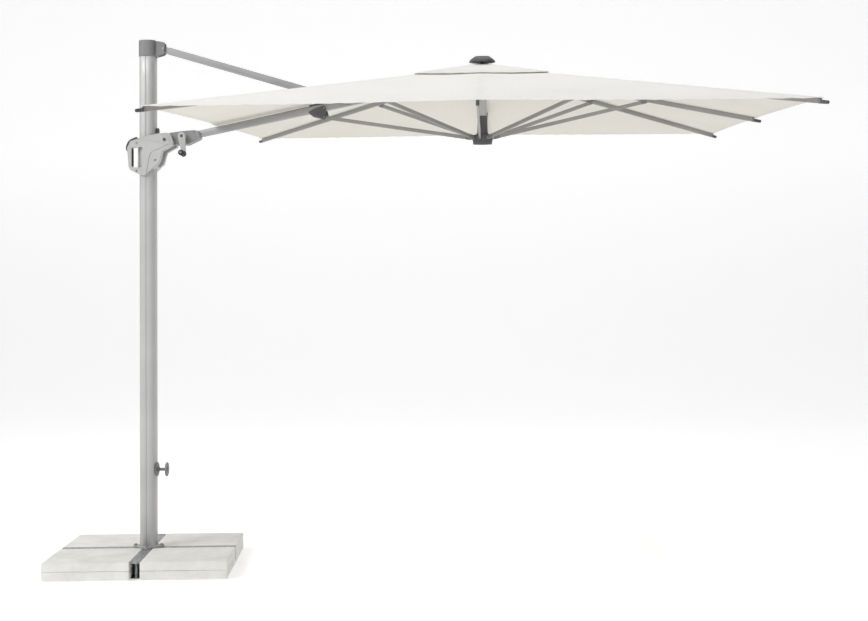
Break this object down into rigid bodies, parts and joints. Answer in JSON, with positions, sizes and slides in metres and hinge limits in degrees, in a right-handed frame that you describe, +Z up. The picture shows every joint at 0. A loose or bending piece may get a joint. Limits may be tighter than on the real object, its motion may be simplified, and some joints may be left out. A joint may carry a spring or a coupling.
{
  "type": "cantilever parasol",
  "caption": "Square cantilever parasol on a side mast: a hand slider with a crank carries the arm, a top strut guides it, and the canopy folds down beside the mast.",
  "frame": {"origin": "on the ground under the mast axis, at the underside of the base cross", "axes": "+Z up the mast, +X from the mast towards the canopy, +Y away from the crank side"},
  "size_m": [3.8694, 2.9965, 2.8835],
  "materials": {
    "anodised_mast": "satin anodised",
    "anodised_arm": "satin anodised, darker grey",
    "cast_grey": "fine-textured powder coat",
    "mid_grey": "fine-textured powder coat",
    "moulded_dark": "matt moulded",
    "grip_black": "matt rubber",
    "steel": "plated",
    "galvanised": "galvanised",
    "slab": "cast concrete paving",
    "cloth": "woven polyester",
    "stay_grey": "satin anodised"
  },
  "bodies": {
    "base": {"base_cross": "galvanised", "slab_1": "slab", "slab_2": "slab", "slab_3": "slab", "slab_4": "slab", "slab_5": "slab", "slab_6": "slab", "slab_7": "slab", "slab_8": "slab", "foot_flange": "cast_grey", "foot_bolt_1": "steel", "foot_bolt_2": "steel", "foot_bolt_3": "steel", "foot_bolt_4": "steel"},
    "mast": {"mast_tube": "anodised_mast", "mast_head": "mid_grey", "head_pin": "steel", "mast_stop": "moulded_dark", "knob_plate": "mid_grey"},
    "knob": {"lock_knob": "mid_grey"},
    "slider": {"slider_shell_near": "cast_grey", "slider_shell_far": "cast_grey", "slider_grip": "grip_black", "slider_pin": "steel"},
    "lever": {"release_lever": "moulded_dark"},
    "arm": {"crank_housing": "mid_grey", "arm_tube": "anodised_arm", "arm_end": "mid_grey", "arm_keeper": "moulded_dark"},
    "crank": {"crank_arm": "cast_grey"},
    "crank_handle": {"crank_grip": "grip_black"},
    "strut": {"top_strut": "anodised_arm", "strut_fork": "mid_grey"},
    "yoke": {"head_yoke": "cast_grey", "yoke_pin": "steel"},
    "crown": {"crown_hub": "cast_grey", "centre_pole": "anodised_mast", "vent_cap": "moulded_dark", "vent_flap": "cloth", "canopy": "cloth"},
    "runner": {"runner_hub": "moulded_dark"},
    "rib_body_1": {"rib_1": "stay_grey"},
    "rib_body_2": {"rib_2": "stay_grey"},
    "rib_body_3": {"rib_3": "stay_grey"},
    "rib_body_4": {"rib_4": "stay_grey"},
    "rib_body_5": {"rib_5": "stay_grey", "rib_bracket": "moulded_dark"},
    "rib_body_6": {"rib_6": "stay_grey"},
    "rib_body_7": {"rib_7": "stay_grey"},
    "rib_body_8": {"rib_8": "stay_grey"},
    "stay_body_1": {"stay_1": "stay_grey"},
    "stay_body_2": {"stay_2": "stay_grey"},
    "stay_body_3": {"stay_3": "stay_grey"},
    "stay_body_4": {"stay_4": "stay_grey"},
    "stay_body_5": {"stay_5": "stay_grey"},
    "stay_body_6": {"stay_6": "stay_grey"},
    "stay_body_7": {"stay_7": "stay_grey"},
    "stay_body_8": {"stay_8": "stay_grey"}
  },
  "joints": [
    {"name": "mast_swivel", "type": "hinge", "parent": "base", "child": "mast", "pos_m": [0, 0, 0.3], "axis": [0, 0, 1], "continuous": true},
    {"name": "lock_knob_turn", "type": "hinge", "parent": "mast", "child": "knob", "pos_m": [0.1, 0, 0.523], "axis": [1, 0, 0], "range_deg": [0, 720]},
    {"name": "slider_travel", "type": "slide", "parent": "mast", "child": "slider", "axis": [0, 0, 1], "range_m": [-1.45, 0], "deforming": ["canopy", "vent_flap"]},
    {"name": "release_lever_squeeze", "type": "hinge", "parent": "slider", "child": "lever", "pos_m": [-0.0555, -0.045, 2.34], "axis": [0, -1, 0], "range_deg": [0, 5], "stiffness_Nm_per_rad": 3, "springref_deg": -5.73},
    {"name": "arm_raise", "type": "hinge", "parent": "slider", "child": "arm", "pos_m": [0.105, 0, 2.331], "axis": [0, -1, 0], "range_deg": [0, 58.15]},
    {"name": "crank_turn", "type": "hinge", "parent": "arm", "child": "crank", "pos_m": [0.203, -0.05, 2.348], "axis": [0, -1, 0], "range_deg": [0, 3601]},
    {"name": "crank_grip_spin", "type": "hinge", "parent": "crank", "child": "crank_handle", "pos_m": [0.216, -0.11, 2.248], "axis": [0, 1, 0], "continuous": true},
    {"name": "strut_swing", "type": "hinge", "parent": "mast", "child": "strut", "pos_m": [0.088, 0, 2.8365], "axis": [0, 1, 0], "range_deg": [0, 52.67]},
    {"name": "canopy_level", "type": "hinge", "parent": "arm", "child": "yoke", "pos_m": [1.773, 0, 2.662], "axis": [0, 1, 0], "range_deg": [0, 58.15]},
    {"name": "canopy_side_tilt", "type": "hinge", "parent": "yoke", "child": "crown", "pos_m": [1.793, 0, 2.662], "axis": [1, 0, 0], "range_deg": [-5.25, 0]},
    {"name": "runner_slide", "type": "slide", "parent": "crown", "child": "runner", "axis": [0, -0.0915, 0.9958], "range_m": [-1.372, 0]},
    {"name": "rib_1_fold", "type": "hinge", "parent": "crown", "child": "rib_body_1", "pos_m": [1.905, -0.00238, 2.68789], "axis": [0, 0.9958, 0.0915], "range_deg": [0, 73.52]},
    {"name": "rib_2_fold", "type": "hinge", "parent": "crown", "child": "rib_body_2", "pos_m": [1.88684, 0.04128, 2.6919], "axis": [-0.7071, 0.7041, 0.0647], "range_deg": [0, 76.6]},
    {"name": "rib_3_fold", "type": "hinge", "parent": "crown", "child": "rib_body_3", "pos_m": [1.843, 0.05936, 2.69356], "axis": [-1, 0, 0], "range_deg": [0, 73.52]},
    {"name": "rib_4_fold", "type": "hinge", "parent": "crown", "child": "rib_body_4", "pos_m": [1.79916, 0.04128, 2.6919], "axis": [-0.7071, -0.7041, -0.0647], "range_deg": [0, 76.6]},
    {"name": "rib_5_fold", "type": "hinge", "parent": "crown", "child": "rib_body_5", "pos_m": [1.751, 0.04298, 2.68603], "axis": [0, -0.9958, -0.0915], "range_deg": [0, 72.33]},
    {"name": "rib_6_fold", "type": "hinge", "parent": "crown", "child": "rib_body_6", "pos_m": [1.79916, -0.04604, 2.68388], "axis": [0.7071, -0.7041, -0.0647], "range_deg": [0, 76.6]},
    {"name": "rib_7_fold", "type": "hinge", "parent": "crown", "child": "rib_body_7", "pos_m": [1.843, -0.06412, 2.68222], "axis": [1, 0, 0], "range_deg": [0, 73.52]},
    {"name": "rib_8_fold", "type": "hinge", "parent": "crown", "child": "rib_body_8", "pos_m": [1.88684, -0.04604, 2.68388], "axis": [0.7071, 0.7041, 0.0647], "range_deg": [0, 76.6]},
    {"name": "stay_1_fold", "type": "hinge", "parent": "runner", "child": "stay_body_1", "pos_m": [1.89, 0.01644, 2.33011], "axis": [0, -0.9958, -0.0915], "range_deg": [0, 71.22]},
    {"name": "stay_2_fold", "type": "hinge", "parent": "runner", "child": "stay_body_2", "pos_m": [1.88613, 0.05362, 2.33353], "axis": [0.7071, -0.7041, -0.0647], "range_deg": [0, 68.52]},
    {"name": "stay_3_fold", "type": "hinge", "parent": "runner", "child": "stay_body_3", "pos_m": [1.857, 0.07718, 2.33569], "axis": [1, 0, 0], "range_deg": [0, 71.22]},
    {"name": "stay_4_fold", "type": "hinge", "parent": "runner", "child": "stay_body_4", "pos_m": [1.81967, 0.07333, 2.33534], "axis": [0.7071, 0.7041, 0.0647], "range_deg": [0, 68.52]},
    {"name": "stay_5_fold", "type": "hinge", "parent": "runner", "child": "stay_body_5", "pos_m": [1.796, 0.05677, 2.33382], "axis": [0, 0.9958, 0.0915], "range_deg": [0, 75.93]},
    {"name": "stay_6_fold", "type": "hinge", "parent": "runner", "child": "stay_body_6", "pos_m": [1.79987, 0.00714, 2.32926], "axis": [-0.7071, 0.7041, 0.0647], "range_deg": [0, 68.52]},
    {"name": "stay_7_fold", "type": "hinge", "parent": "runner", "child": "stay_body_7", "pos_m": [1.829, -0.01642, 2.32709], "axis": [-1, 0, 0], "range_deg": [0, 71.22]},
    {"name": "stay_8_fold", "type": "hinge", "parent": "runner", "child": "stay_body_8", "pos_m": [1.86634, -0.01257, 2.32745], "axis": [-0.7071, -0.7041, -0.0647], "range_deg": [0, 68.52]}
  ],
  "couplings": [
    {"joint": "arm_raise", "follows": "slider_travel", "rad_per_m": -0.6939},
    {"joint": "crank_turn", "follows": "slider_travel", "rad_per_m": -43.332},
    {"joint": "strut_swing", "follows": "slider_travel", "rad_per_m": -0.62794},
    {"joint": "canopy_level", "follows": "slider_travel", "rad_per_m": -0.6939},
    {"joint": "runner_slide", "follows": "slider_travel", "ratio": 0.94483},
    {"joint": "rib_1_fold", "follows": "slider_travel", "rad_per_m": -0.87896},
    {"joint": "rib_2_fold", "follows": "slider_travel", "rad_per_m": -0.916},
    {"joint": "rib_3_fold", "follows": "slider_travel", "rad_per_m": -0.87896},
    {"joint": "rib_4_fold", "follows": "slider_travel", "rad_per_m": -0.916},
    {"joint": "rib_5_fold", "follows": "slider_travel", "rad_per_m": -0.86462},
    {"joint": "rib_6_fold", "follows": "slider_travel", "rad_per_m": -0.916},
    {"joint": "rib_7_fold", "follows": "slider_travel", "rad_per_m": -0.87896},
    {"joint": "rib_8_fold", "follows": "slider_travel", "rad_per_m": -0.916},
    {"joint": "stay_1_fold", "follows": "slider_travel", "rad_per_m": -0.85121},
    {"joint": "stay_2_fold", "follows": "slider_travel", "rad_per_m": -0.81872},
    {"joint": "stay_3_fold", "follows": "slider_travel", "rad_per_m": -0.85121},
    {"joint": "stay_4_fold", "follows": "slider_travel", "rad_per_m": -0.81872},
    {"joint": "stay_5_fold", "follows": "slider_travel", "rad_per_m": -0.90792},
    {"joint": "stay_6_fold", "follows": "slider_travel", "rad_per_m": -0.81872},
    {"joint": "stay_7_fold", "follows": "slider_travel", "rad_per_m": -0.85121},
    {"joint": "stay_8_fold", "follows": "slider_travel", "rad_per_m": -0.81872}
  ]
}
